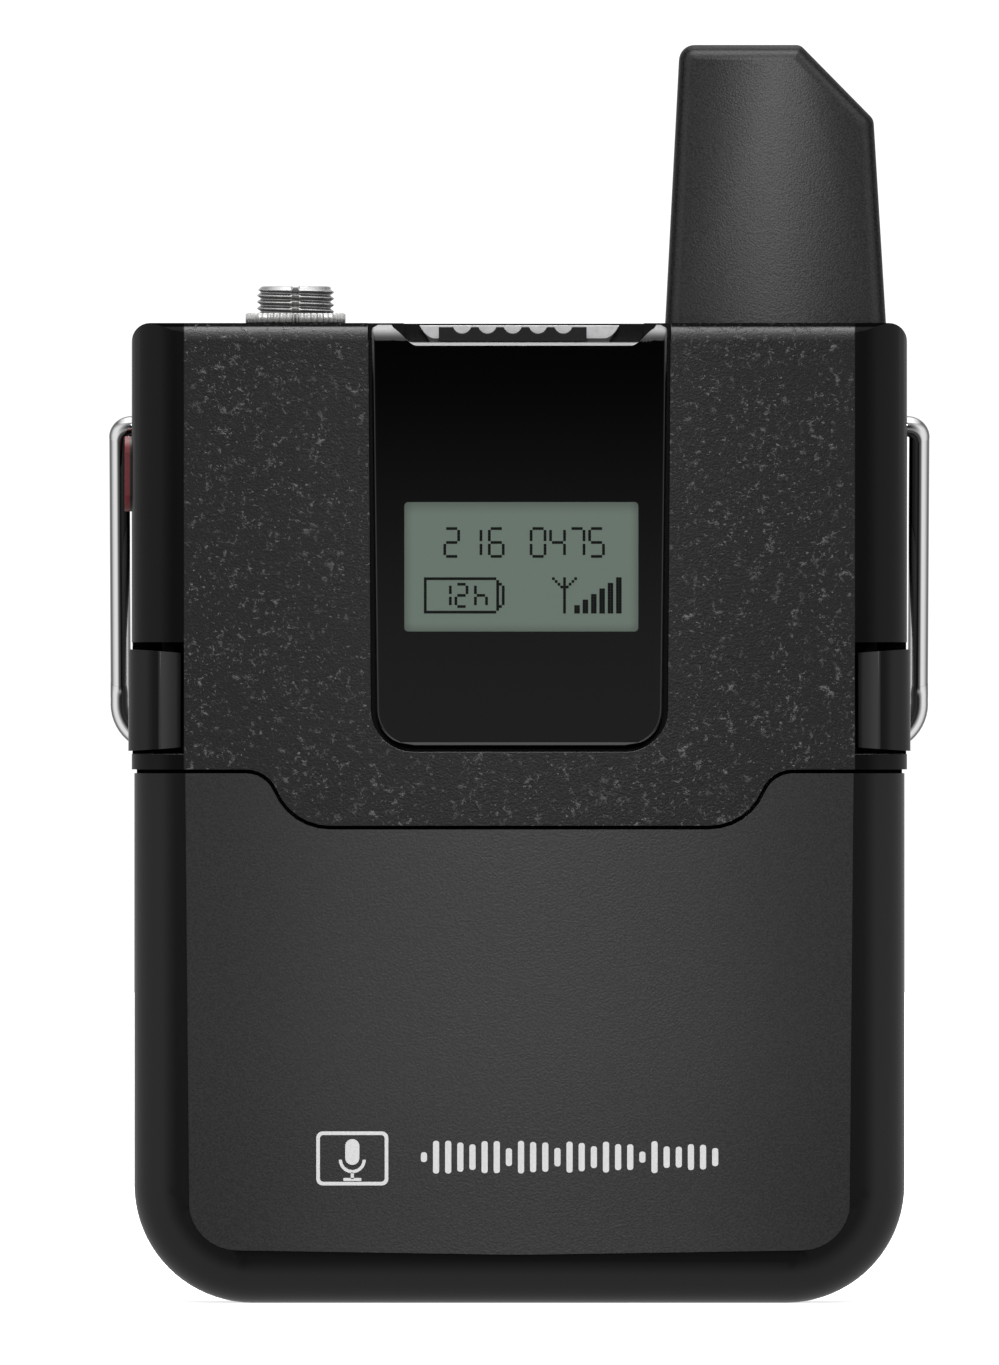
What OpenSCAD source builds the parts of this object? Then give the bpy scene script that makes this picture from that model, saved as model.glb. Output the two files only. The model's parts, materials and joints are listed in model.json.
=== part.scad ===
// Bodypack transmitter: upper electronics case with a slide-on battery pack, in millimetres.
// X to the right, Y to the back, Z up. The base is at Z = 0 and the seam plane runs along X.

/* [Case] */
// Half of the case width
half_width = 30.2; // [30.0:0.1:30.4]
// Height of the case without the antenna
case_top = 76.3; // [76.3:0.1:76.6]
// Front of the smooth side bands, measured from the seam plane
band_front = 8.0; // [7.9:0.05:8.0]
// How far the textured front panels stand proud of the bands
panel_step = 0.2; // [0.1:0.05:0.25]
// Back of the case
case_back = 8.2; // [8.2:0.1:8.6]
// Side wall thickness
wall = 1.4; // [1.2:0.1:1.5]
// Rounding of the front side edges
band_radius = 4.0; // [3.6:0.1:4.0]
// Rounding of the back edges
back_radius = 3.2; // [2.6:0.1:3.4]
// Rounding of the two lower corners
base_corner = 9.2; // [8.6:0.2:9.2]
// Rounding of the two upper corners
top_corner = 1.45; // [1.0:0.05:1.6]
// Rounding of the front top edge
brow_radius = 1.4; // [0.8:0.1:1.4]
// Where the front and rear shells meet
parting = 3.5; // [3.4:0.05:3.6]

/* [Seam between the units] */
// Height of the seam at the sides
split_z = 41.4; // [41.3:0.05:41.45]
// How far the seam drops in the middle of the front
split_drop = 4.37; // [4.2:0.05:4.5]
// Width of the open seam
split_gap = 0.3; // [0.24:0.02:0.34]
// Half width of the front panel of the upper unit
panel_half = 26.1; // [25.9:0.05:26.1]
// Half width of the front panel of the battery pack at the seam
pack_panel_half = 26.0; // [25.9:0.05:26.05]
// Half width of the battery pack
pack_half = 30.0; // [30.0:0.05:30.1]

/* [Display] */
// Half width of the display window at its top
window_half_top = 11.5; // [11.3:0.05:11.6]
// Half width of the display window at its bottom
window_half_base = 11.1; // [10.9:0.05:11.2]
// Bottom edge of the display window
window_base = 43.45; // [43.4:0.05:43.7]
// Middle of the readout, sideways
readout_x = 0.15; // [0:0.05:0.3]
// Middle of the readout, height
readout_z = 57.3; // [57.0:0.1:57.6]
// Readout width
readout_w = 18.2; // [17.6:0.1:18.4]
// Readout height
readout_h = 10.1; // [9.6:0.1:10.3]

/* [Top controls] */
// Microphone socket position, sideways
jack_x = -17.45; // [-17.6:0.05:-17.3]
// Microphone socket position, front to back
jack_y = -1.0; // [-1.1:0.05:-0.9]
// Outer radius of the locking thread
thread_r = 3.0; // [2.9:0.05:3.0]
// Radius of the plug bore
plug_r = 1.8; // [1.75:0.01:1.8]
// Number of grooves around the ring nut
nut_grooves = 30; // [24:2:32]
// Travel of the mute switch
mute_travel = 2.0; // [1.6:0.1:2.1]
// Middle of the mute switch grip
mute_x = -0.52; // [-0.6:0.02:-0.5]
// Distance between the grip valleys
mute_pitch = 1.97; // [1.9:0.01:2.0]

/* [Antenna] */
// Height of the top of the antenna
antenna_top = 98.0; // [97.0:0.5:99.0]
// Antenna thickness at its top
antenna_tip = 6.4; // [6.0:0.1:7.0]
// Antenna thickness at its base
antenna_root = 8.4; // [8.0:0.1:8.6]

/* [Belt clip] */
// Radius of the clip wire
wire_r = 0.8; // [0.75:0.01:0.8]
// Distance of the clip arms from the middle
clip_half = 31.2; // [31.2:0.05:31.5]
// Height of the clip pivots
pivot_z = 68.3; // [68.2:0.1:68.6]
// Distance of the clip loop from the seam plane
clip_back = 11.0; // [11.0:0.05:11.5]

/* [Side latches] */
// Bottom of the latch buttons
latch_base = 42.95; // [42.95:0.05:43.1]
// Top of the latch buttons
latch_top = 50.95; // [50.8:0.05:51.0]
// Radius of the latch pins
latch_pin_r = 0.6; // [0.55:0.01:0.6]
// Clearance of the latch bores around the pins
latch_clear = 0.06; // [0.04:0.01:0.08]

/* [Hidden] */
arc_step = 11.25;
hair = 0.05;
half_gap = split_gap / 2;
front = -(band_front + panel_step);
in_x = half_width - wall;
in_top = 73.3;
in_base = 42.9;
in_front = -6.0;
in_back = case_back - wall;
lap = 0.08;
swell = 0.01;
latch_x = 27.2;
latch_y = -5.6;
seam_x1 = 19.62;
seam_r1 = 2.5;
seam_x2 = 17.8;
seam_r2 = 4.6;
seam_slope = atan(split_drop / (seam_x1 - seam_x2));
upper_screws = [[-24.8, 72.6], [24.8, 72.6], [-21.5, 54], [21.5, 54]];
pack_screws = [[-25.4, 8], [25.4, 8], [-25.4, 34.5], [25.4, 34.5]];
contact_x = [-9, -3, 3, 9];

case_grey = [0.16, 0.16, 0.17];
band_grey = [0.12, 0.12, 0.13];
black = [0.04, 0.04, 0.045];
board_green = [0.07, 0.27, 0.16];
steel = [0.78, 0.78, 0.8];
gold = [0.85, 0.68, 0.3];

function unit(v) = v / norm(v);
function turned(v, a) = [v.x * cos(a) - v.y * sin(a), v.x * sin(a) + v.y * cos(a)];
// Points of a rounded corner at b, between the directions of a and c
function corner_arc(a, b, c, r) =
  r <= 0 ? [b] :
  let (
    d1 = unit(a - b),
    d2 = unit(c - b),
    half = acos(d1 * d2) / 2,
    centre = b + unit(d1 + d2) * r / sin(half),
    start = b + d1 * r / tan(half) - centre,
    turn = 180 - 2 * half,
    way = cross(d1, d2) > 0 ? -1 : 1,
    steps = max(1, ceil(turn / arc_step))
  )
  [for (k = [0 : steps]) centre + turned(start, way * turn * k / steps)];
// Outline through [x, y, radius] corners
function rounded(p) =
  let (n = len(p))
  [for (i = [0 : n - 1])
    let (a = p[(i + n - 1) % n], b = p[i], c = p[(i + 1) % n])
    each corner_arc([a.x, a.y], [b.x, b.y], [c.x, c.y], b.z)];
// Corners of the curved seam, moved up by g, from the left to the right
function seam(g) =
  let (t = tan(seam_slope / 2), low = split_z - split_drop)
  [
    [-seam_x1 + g * t, split_z + g, seam_r1 + g],
    [-seam_x2 + g * t, low + g, seam_r2 - g],
    [seam_x2 - g * t, low + g, seam_r2 - g],
    [seam_x1 - g * t, split_z + g, seam_r1 + g]
  ];

module block(lo, hi) translate(lo) cube(hi - lo);
module sheet_xz(points, y0, y1) translate([0, y1, 0]) rotate([90, 0, 0])
  linear_extrude(y1 - y0) polygon(points);
module sheet_xy(points, z0, z1) translate([0, 0, z0]) linear_extrude(z1 - z0) polygon(points);
module sheet_yz(points, x0, x1) translate([x0, 0, 0]) rotate([90, 0, 90])
  linear_extrude(x1 - x0) polygon(points);
module both_sides() {
  children();
  mirror([1, 0, 0]) children();
}
module post_y(at, r, y0, y1) translate([at.x, y0, at.y]) rotate([-90, 0, 0])
  cylinder(h = y1 - y0, r = r, $fn = 48);
module post_x(y, z, r, x0, x1) translate([x0, y, z]) rotate([0, 90, 0])
  cylinder(h = x1 - x0, r = r, $fn = 48);
module post_z(x, y, r, z0, z1) translate([x, y, z0]) cylinder(h = z1 - z0, r = r, $fn = 48);

// Outer form of the upper unit
module upper_form() {
  difference() {
    intersection() {
      sheet_xy(rounded([
        [-half_width, case_back, back_radius], [-half_width, -band_front, band_radius],
        [-panel_half, -band_front, 0], [-panel_half, front, 0],
        [panel_half, front, 0], [panel_half, -band_front, 0],
        [half_width, -band_front, band_radius], [half_width, case_back, back_radius]
      ]), 30, case_top);
      sheet_xz(rounded(concat(
        [[half_width, case_top, top_corner], [-half_width, case_top, top_corner]],
        [[-half_width, split_z + half_gap, 0]], seam(half_gap),
        [[half_width, split_z + half_gap, 0]]
      )), -12, 12);
      sheet_yz(rounded([
        [front, 30, 0], [front, case_top, brow_radius], [case_back, case_top, 1.0], [case_back, 30, 0]
      ]), -half_width - 1, half_width + 1);
    }
    block([-half_width, in_front - 0.2, 30], [half_width, case_back + 1, split_z + half_gap]);
  }
}

// Profile of the pack edge, from the middle of the corner outwards
function pack_edge(r) = rounded([
  [0, -band_front, 0], [r, -band_front, band_radius], [r, case_back, back_radius], [0, case_back, 0]
]);

// Outer form of the battery pack
module pack_form() {
  top = split_z - half_gap;
  cx = pack_half - base_corner;
  difference() {
    union() {
      block([-cx, -band_front, base_corner], [cx, case_back, top]);
      both_sides() {
        translate([cx, 0, base_corner]) linear_extrude(top - base_corner)
          polygon(pack_edge(base_corner));
        translate([cx, 0, base_corner]) rotate([-90, 0, 0])
          rotate_extrude(angle = 90, $fn = 64) polygon(pack_edge(base_corner));
      }
      translate([-cx, 0, base_corner]) rotate([0, 90, 0]) linear_extrude(2 * cx)
        polygon(pack_edge(base_corner));
      sheet_xz(rounded([
        [pack_panel_half, split_z, 0], [-pack_panel_half, split_z, 0],
        [-pack_panel_half + 0.3, 4.2, 3.8], [0, 3.8, 60], [pack_panel_half - 0.3, 4.2, 3.8]
      ]), front, 0);
    }
    block([-half_width - 1, -12, top], [half_width + 1, 12, split_z + 1]);
    sheet_xz(rounded(concat(
      [[40, 60, 0], [-40, 60, 0], [-40, split_z - half_gap, 0]], seam(-half_gap),
      [[40, split_z - half_gap, 0]]
    )), -12, in_front);
  }
}

module screw_set(at, y0) {
  for (p = at) difference() {
    union() {
      post_y(p, 1.6, case_back - 1.2, case_back - 0.2);
      post_y(p, 0.9, y0, case_back - 1.2);
    }
    block([p.x - 0.9, case_back - 0.8, p.y - 0.2], [p.x + 0.9, case_back, p.y + 0.2]);
    block([p.x - 0.2, case_back - 0.8, p.y - 0.9], [p.x + 0.2, case_back, p.y + 0.9]);
  }
}

module front_housing() color(case_grey) {
  difference() {
    union() {
      difference() {
        intersection() {
          upper_form();
          block([-40, -20, 0], [40, parting - hair, 120]);
        }
        block([-in_x, in_front, in_base], [in_x, 20, in_top]);
        both_sides() block([26.1, -9, 42.75], [40, 2.2, 51.45]);
      }
      both_sides() {
        block([25.8, in_front - hair, 51.45], [in_x + hair, 2.2, 53]);
        post_x(0, pivot_z, 2, 27.4, in_x + hair);
      }
      for (p = upper_screws) post_y(p, 1.9, in_front - hair, parting - hair);
    }
    for (p = upper_screws) post_y(p, 0.95, 0.2, 10);
    both_sides() {
      post_z(latch_x, latch_y, latch_pin_r + 0.02, 41.98, 52.65);
      post_x(0, pivot_z, wire_r + 0.05, 27.75, 40);
      block([27.35, -3.7, 41], [28.55, -0.5, 43]);
    }
    block([-14.3, 0.3, 41], [14.3, 20, 43]);
    sheet_xz(rounded([
      [window_half_top + 0.3, 80, 0], [-window_half_top - 0.3, 80, 0],
      [-window_half_base - 0.44, window_base - 0.55, 3.3], [window_half_base + 0.44, window_base - 0.55, 3.3]
    ]), -12, -6.7);
    block([readout_x - 9.7, -8, readout_z - 5.7], [readout_x + 9.7, -5, readout_z + 5.7]);
    block([-window_half_top - 0.3, -12, 74.9], [window_half_top + 0.3, -5.4, 80]);
    block([-9.0, -12, 74.5], [9.7, -0.8, 80]);
    block([-1.9, -5.25, 73], [2.9, -4.15, 75]);
    post_z(jack_x, jack_y, thread_r + 0.1, 73, 80);
    block([14.4, -3.3, 73], [22.6, 1.3, 80]);
    post_z(-11.3, jack_y, 0.85, 73, 80);
    sheet_yz(rounded([
      [-3.7, 61.55, 1.35], [-3.7, 67.6, 1.35], [-0.9, 67.6, 1.35], [-0.9, 61.55, 1.35]
    ]), -40, -28);
    block([-in_x, -4.2, 61], [-27, -0.85, 67.7]);
    block([-29.4, -5.3, 41], [29.4, -4.5, 41.95]);
    both_sides() block([28.75, -5.3, 41], [29.9, 5, 41.95]);
  }
}

module rear_housing() color(case_grey) {
  difference() {
    union() {
      difference() {
        intersection() {
          upper_form();
          block([-40, parting + hair, 0], [40, 20, 120]);
        }
        block([-in_x, -20, in_base], [in_x, in_back, in_top]);
      }
      for (p = upper_screws) post_y(p, 1.9, parting + hair, in_back + hair);
    }
    for (p = upper_screws) {
      post_y(p, 1.0, 0, 10);
      post_y(p, 1.7, case_back - 1.2, 10);
    }
    block([-14.3, 0.3, 41], [14.3, 6.7, 43]);
    block([-13.1, case_back - 0.2, 54.9], [13.1, 12, 70.1]);
  }
}

module display_window() color(black) {
  difference() {
    intersection() {
      union() {
        sheet_xz(rounded([
          [window_half_top, 76.15, 0], [-window_half_top, 76.15, 0],
          [-window_half_base, window_base, 2.7], [window_half_base, window_base, 2.7]
        ]), -8.12, -6.92);
        block([-11.4, -8.0, 74.95], [11.4, -5.5, 76.15]);
      }
      sheet_yz(rounded([
        [-8.12, 40, 0], [-8.12, 76.15, brow_radius - 0.2], [-5, 76.15, 0], [-5, 40, 0]
      ]), -20, 20);
    }
    block([-9.05, -12, 75.0], [9.75, 0, 80]);
    block([-9.05, -6.92, 70], [9.75, 0, 80]);
  }
}

module window_mask() color([0.03, 0.03, 0.035]) {
  difference() {
    sheet_xz(rounded([
      [10.9, 74.3, 0.4], [-10.9, 74.3, 0.4], [-10.6, 44.2, 2.2], [10.6, 44.2, 2.2]
    ]), -6.9, -6.72);
    sheet_xz(rounded([
      [readout_x - readout_w / 2, readout_z - readout_h / 2, 0.3],
      [readout_x + readout_w / 2, readout_z - readout_h / 2, 0.3],
      [readout_x + readout_w / 2, readout_z + readout_h / 2, 0.3],
      [readout_x - readout_w / 2, readout_z + readout_h / 2, 0.3]
    ]), -8, -6);
  }
}

module lcd_panel() color([0.42, 0.48, 0.43]) {
  block([readout_x - 11.2, -5.95, readout_z - 6.5], [readout_x + 11.2, -5.25, readout_z + 6.9]);
  block([readout_x - 10.9, -5.25, readout_z - 5.9], [readout_x + 10.9, -4.55, readout_z + 6.7]);
}

module lcd_holder() color([0.85, 0.86, 0.84]) {
  difference() {
    block([readout_x - 12.1, -4.5, 50], [readout_x + 12.1, -3.2, 65]);
    block([readout_x - 9, -5, 53], [readout_x + 9, -3, 62]);
  }
  for (x = [-12.1, 11.35]) block([readout_x + x, -5.9, 54], [readout_x + x + 0.75, -4.4, 60]);
}

module display_flex() color([0.75, 0.45, 0.12]) {
  block([-5, -4.85, 47.3], [5, -4.7, 50.75]);
  block([-5, -4.85, 47.15], [5, -3.5, 47.3]);
  block([-6, -4.3, 45.4], [6, -2.95, 47.15]);
}

module main_board() color(board_green) {
  difference() {
    union() {
      block([-26.2, -2.9, 43.6], [26.2, -2.1, 70.2]);
      block([-7.5, -2.9, 70], [7.5, -2.1, 73.2]);
    }
    block([-22.2, -4, 60.4], [-12.7, 0, 75]);
    both_sides() block([24.6, -4, 40], [30, 0, 53]);
    for (x = [-21.5, 21.5]) post_y([x, 54], 2.1, -4, 0);
  }
}

module rf_shield() color(steel) {
  difference() {
    block([2, -2.05, 52], [17, 0.3, 68]);
    block([2.2, -3, 52.2], [16.8, 0.1, 67.8]);
    for (x = [5.5, 9.5, 13.5], z = [56, 60, 64]) post_y([x, z], 0.6, 0, 1);
  }
}

module board_components() color([0.1, 0.1, 0.11]) {
  block([-9.5, -2.05, 56.5], [-2.5, -1.05, 63.5]);
  block([-8.5, -2.05, 66], [-3.5, -1.15, 70]);
  block([-17.5, -2.05, 53.2], [-12.5, -1.05, 58.2]);
  block([20.4, -2.05, 60], [24.4, -0.65, 66]);
  block([18.5, -2.05, 57.8], [21.7, -1.35, 59.4]);
  block([-24, -2.05, 57.2], [-20.5, -0.55, 60.3]);
  for (x = [-18, -12, -6]) block([x, -2.05, 45], [x + 1.6, -1.25, 47]);
}

module slide_switch() color(steel) {
  difference() {
    block([-4, -5.6, 70.2], [4, -2.95, 72.9]);
    block([-1.95, -5.25, 71.3], [2.95, -4.15, 80]);
  }
}

module mute_trim() color([0.55, 0.55, 0.56]) {
  difference() {
    union() {
      block([-8.9, -6.8, 74.52], [9.6, -0.9, 74.8]);
      sheet_xz([[-6.9, 74.7], [6.9, 74.7], [7.8, 76.15], [-7.8, 76.15]], -2.6, -2.0);
    }
    block([-1.9, -5.25, 73], [2.9, -4.15, 75]);
  }
}

module mute_slider() color(band_grey) {
  difference() {
    block([mute_x - 5.75, -6.5, 74.85], [mute_x + 5.75, -3.0, 76.0]);
    for (k = [-2 : 2]) post_y([mute_x + k * mute_pitch, 76.24], 0.74, -7, -2);
  }
  block([mute_x - 1.2, -5.1, 71.6], [mute_x + 1.2, -4.3, 75.2]);
}

module jack_collar() color(steel) {
  translate([jack_x, jack_y, 0]) rotate_extrude($fn = 96) polygon([
    [plug_r, 72.2], [3.9, 72.2], [3.9, 73.25], [thread_r - 0.4, 73.25],
    [thread_r - 0.4, 77.1], [thread_r, 77.2], [thread_r, 78.9], [thread_r - 0.3, 79.2],
    [plug_r, 79.2]
  ]);
}

module jack_ring_nut() color(steel) {
  difference() {
    translate([jack_x, jack_y, 0]) rotate_extrude($fn = 96) polygon([
      [thread_r + 0.05, 76.32], [3.9, 76.32], [3.9, 76.9], [3.65, 77.12], [thread_r + 0.05, 77.12]
    ]);
    for (k = [0 : nut_grooves - 1])
      translate([jack_x, jack_y, 76]) rotate([0, 0, 360 * k / nut_grooves]) translate([3.98, 0, 0])
        cylinder(h = 2, r = 0.2, $fn = 16);
  }
}

// The three leaf contacts, grown by g for the slots that hold them
module jack_leaves(g) {
  low = 62 - g;
  block([jack_x - 0.5 - g, jack_y + 1.9 - g, low], [jack_x + 0.5 + g, jack_y + 2.2 + g, 71.1 + g]);
  block([jack_x - 2.2 - g, jack_y - 0.5 - g, low], [jack_x - 1.9 + g, jack_y + 0.5 + g, 71.1 + g]);
  block([jack_x + 1.9 - g, jack_y - 0.5 - g, low], [jack_x + 2.2 + g, jack_y + 0.5 + g, 68.1 + g]);
}

module jack_socket() color(black) {
  difference() {
    block([jack_x - 4.15, -4.5, 60.8], [jack_x + 4.15, 2.5, 72.15]);
    post_z(jack_x, jack_y, plug_r + 0.6, 63.5, 80);
    jack_leaves(hair);
  }
}

module jack_contacts() color(gold) jack_leaves(0);

module antenna_cover() color(band_grey) {
  mid = -1;
  difference() {
    union() {
      intersection() {
        sheet_xz(rounded([
          [11.43, 76.32, 0], [12.55, antenna_top, 1.1], [21.9, antenna_top, 0.6],
          [27.6, antenna_top - 5.8, 1.0], [28.5, 76.32, 0]
        ]), -20, 20);
        sheet_yz([
          [mid - antenna_root / 2, 76], [mid + antenna_root / 2, 76],
          [mid + antenna_tip / 2, antenna_top], [mid - antenna_tip / 2, antenna_top]
        ], 0, 40);
      }
      block([14.5, -3.2, 73.2], [22.5, 1.2, 77]);
      block([13.6, -4.2, 72.2], [22.7, 2.2, 73.25]);
    }
    block([17.3, -1.6, 70], [21.2, -0.4, 78]);
    block([14.3, -1.6, 77.9], [24.2, -0.4, 93.2]);
  }
}

module antenna_element() color(gold) {
  block([17.5, -1.4, 70.8], [21, -0.6, 79]);
  block([14.5, -1.4, 78.1], [24, -0.6, 93]);
}

module antenna_feed_spring() color(gold) {
  sheet_yz([
    [-2.05, 66.3], [-1.85, 66.3], [-1.85, 69.6], [-1.45, 70.9], [-1.45, 72.0],
    [-1.62, 72.0], [-1.62, 70.9], [-2.05, 69.8]
  ], 18.5, 20);
}

module power_button() color([0.45, 0.12, 0.13]) {
  sheet_yz(rounded([
    [-3.6, 61.65, 1.3], [-3.6, 67.5, 1.3], [-1.0, 67.5, 1.3], [-1.0, 61.65, 1.3]
  ]), -half_width - 0.55, -28.6);
  block([-28.75, -4.1, 61.2], [-28.2, -0.9, 67.2]);
  block([-28.3, -2.0, 63.9], [-27.75, -1.0, 65.3]);
}

module power_tact_switch() color(steel) {
  block([-27.3, -2.05, 62.6], [-23.6, -0.05, 66.6]);
}

module status_led_lens() color([0.75, 0.78, 0.75]) {
  post_z(-11.3, jack_y, 0.8, 73.4, case_top);
}

module contact_carrier() color(black) {
  difference() {
    block([-14, -2.05, 48.4], [14, 6.4, 51.2]);
    for (x = contact_x) block([x - 1.3, 0.4, 49], [x + 1.3, 5.6, 60]);
  }
}

module contact_springs() color(gold) {
  for (x = contact_x) sheet_yz([
    [1.0, 48.35], [1.0, 48.15], [3.0, 47.86], [5.0, 48.15], [5.0, 48.35],
    [4.8, 48.35], [3.0, 48.06], [1.2, 48.35]
  ], x - 0.8, x + 0.8);
}

module latch() {
  difference() {
    intersection() {
      sheet_xy(rounded([
        [26.32, -7.5, 0.2], [27.9, -8.12, 0.1], [30.45, -8.1, 2.5], [30.45, 1.6, 0], [29.2, 1.6, 0],
        [29.2, -4.2, 0], [28.4, -4.7, 0], [27.0, -4.7, 0], [27.0, -2.7, 0], [27.3, -2.4, 0],
        [27.3, -1.6, 0], [27.0, -1.3, 0], [27.0, -1.0, 0], [26.32, -1.0, 0]
      ]), 40, 54);
      sheet_xz([
        [26, latch_base + 0.35], [27.95, latch_base + 0.2], [31, latch_base],
        [31, latch_top], [27.95, latch_top - 0.2], [26, latch_top - 0.35]
      ], -12, 12);
    }
    post_z(latch_x, latch_y, latch_pin_r + latch_clear, 40, 54);
  }
}

module latch_right() color(band_grey) latch();
module latch_left() color(band_grey) mirror([1, 0, 0]) latch();

module latch_pins() color(steel) {
  for (x = [-latch_x, latch_x]) post_z(x, latch_y, latch_pin_r, 42.0, 52.6);
}

module leaf() {
  sheet_xy([
    [28.75, 3.3], [28.5, 3.3], [28.5, 2.2], [28.9, 0.2], [29.15, 0.2], [28.75, 2.2]
  ], 44.5, 49);
}
module latch_spring_right() color(steel) leaf();
module latch_spring_left() color(steel) mirror([1, 0, 0]) leaf();

// Straight piece of wire
module rod(a, b) {
  d = b - a;
  translate(a) rotate([0, acos(d.z / norm(d)), atan2(d.y, d.x)])
    cylinder(h = norm(d), r = wire_r, $fn = 48);
}

// Length a bend at b takes from each of its two straights
function bend_reach(a, b, c, r) = r * tan(acos(unit(b - a) * unit(c - b)) / 2);

// Bent piece of wire around the corner b
module bend(a, b, c, r) {
  d1 = unit(b - a);
  d2 = unit(c - b);
  n = unit(cross(d1, d2));
  u = cross(n, d1);
  m = b - d1 * bend_reach(a, b, c, r) + u * r;
  multmatrix([
    [-u.x, d1.x, n.x, m.x], [-u.y, d1.y, n.y, m.y], [-u.z, d1.z, n.z, m.z], [0, 0, 0, 1]
  ])
    rotate_extrude(angle = acos(d1 * d2), $fn = 96) translate([r, 0])
      circle(r = wire_r + swell, $fn = 48);
}

module belt_clip() color(steel) {
  tail = clip_back - 0.2;
  half = [
    [27.9, 0, pivot_z], [clip_half, 0, pivot_z], [clip_half, clip_back, 47.8],
    [clip_half, clip_back, 45.3], [21, clip_back, 36.4], [21, clip_back, 17.5],
    [21, clip_back - 1.75, 13.5], [21, tail, 10.5]
  ];
  radii = [0, 0.95, 2.5, 3, 3, 3, 3, 1.5];
  n = len(half);
  path = concat(half, [for (k = [n - 1 : -1 : 0]) [-half[k].x, half[k].y, half[k].z]]);
  round_at = concat(radii, [for (k = [n - 1 : -1 : 0]) radii[k]]);
  last = len(path) - 1;
  reach = [for (k = [0 : last])
    k == 0 || k == last ? 0 : bend_reach(path[k - 1], path[k], path[k + 1], round_at[k]) - lap];
  for (k = [0 : last - 1]) {
    d = unit(path[k + 1] - path[k]);
    rod(path[k] + d * reach[k], path[k + 1] - d * reach[k + 1]);
  }
  for (k = [1 : last - 1]) bend(path[k - 1], path[k], path[k + 1], round_at[k]);
}

module housing_screws() color(steel) screw_set(upper_screws, 0.5);

module rating_label() color([0.75, 0.76, 0.77]) {
  block([-13, case_back - 0.18, 55], [13, case_back - 0.05, 70]);
}

module battery_front_housing() color(case_grey) {
  difference() {
    union() {
      difference() {
        intersection() {
          pack_form();
          block([-40, -20, -5], [40, parting - hair, 120]);
        }
        sheet_xz(rounded([
          [in_x, 35.8, 0], [-in_x, 35.8, 0], [-in_x, wall, 7.8], [in_x, wall, 7.8]
        ]), in_front, 20);
        block([-in_x, -4.6, 35.7], [in_x, 20, 39.85]);
      }
      for (p = pack_screws) post_y(p, 1.9, in_front - hair, parting - hair);
      block([-29.3, -5.2, 41], [29.3, -4.6, 41.85]);
      both_sides() block([28.85, -4.65, 41], [29.8, parting - hair, 41.85]);
      both_sides() difference() {
        block([27.45, -3.6, 40.5], [28.45, -0.6, 48.5]);
        block([27, -2.6, 44.2], [29, -1.2, 47.5]);
      }
    }
    for (p = pack_screws) post_y(p, 0.95, 0.2, 10);
    block([-14.1, 0.5, 39], [14.1, 6.5, 43]);
    block([28, -1.4, 16.15], [40, 1.4, 23.85]);
    post_x(0, 27, 0.95, 28, 40);
  }
}

module battery_rear_housing() color(case_grey) {
  difference() {
    union() {
      difference() {
        intersection() {
          pack_form();
          block([-40, parting + hair, -5], [40, 20, 120]);
        }
        sheet_xz(rounded([
          [in_x, 39.85, 0], [-in_x, 39.85, 0], [-in_x, wall, 7.8], [in_x, wall, 7.8]
        ]), -20, in_back);
      }
      for (p = pack_screws) post_y(p, 1.9, parting + hair, in_back + hair);
    }
    for (p = pack_screws) {
      post_y(p, 1.0, 0, 10);
      post_y(p, 1.7, case_back - 1.2, 10);
    }
    block([-14.1, 0.5, 39], [14.1, 6.5, 43]);
    block([-17.1, case_back - 0.2, 13.9], [17.1, 12, 32.1]);
  }
}

module battery_cell() color([0.62, 0.65, 0.7]) {
  sheet_xy(rounded([
    [-22.3, -4.3, 1.6], [22.3, -4.3, 1.6], [22.3, 5.7, 1.6], [-22.3, 5.7, 1.6]
  ]), 5.5, 35.0);
  block([-4, -1, 34.9], [4, 3, 35.3]);
}

module cell_foam_pad() color([0.2, 0.2, 0.21]) {
  block([-18, -5.95, 9], [18, -4.35, 32]);
}

module protection_board() color(board_green) {
  block([-20, -3.6, 36.0], [20, 5.6, 36.8]);
  block([-16, -3, 35.5], [-11, 0, 36.1]);
  block([10, -2, 35.4], [16, 2, 36.1]);
}

module terminal_block() color(black) {
  difference() {
    block([-14, 0.6, 36.9], [14, 6.4, 47.5]);
    for (x = contact_x) block([x - 1, 1.6, 37.5], [x + 1, 2.2, 46.5]);
    for (x = [-15, 13]) block([x, 0, 44.5], [x + 2, 1.6, 50]);
  }
}

module battery_terminals() color(gold) {
  for (x = contact_x) block([x - 1.6, 1.3, 47.51], [x + 1.6, 4.9, 47.8]);
}

module usb_socket() color(steel) {
  difference() {
    sheet_yz([
      [-1.3, 17.1], [-0.5, 16.25], [1.3, 16.25], [1.3, 23.75], [-0.5, 23.75], [-1.3, 22.9]
    ], 24.6, pack_half - 0.1);
    sheet_yz([
      [-1.0, 17.2], [-0.4, 16.55], [1.0, 16.55], [1.0, 23.45], [-0.4, 23.45], [-1.0, 22.8]
    ], 25.0, 40);
  }
}

module usb_tongue() color(black) {
  block([25.05, -0.3, 17.6], [29.4, 0.3, 22.4]);
}

module usb_board() color(board_green) {
  block([22.6, 1.35, 13], [28.6, 2.15, 29.5]);
}

module charge_led_lens() color([0.75, 0.78, 0.75]) {
  post_x(0, 27, 0.9, 28.3, pack_half - 0.05);
}

module battery_screws() color(steel) screw_set(pack_screws, 0.5);

module battery_label() color([0.75, 0.76, 0.77]) {
  block([-17, case_back - 0.18, 14], [17, case_back - 0.05, 32]);
}

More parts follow.
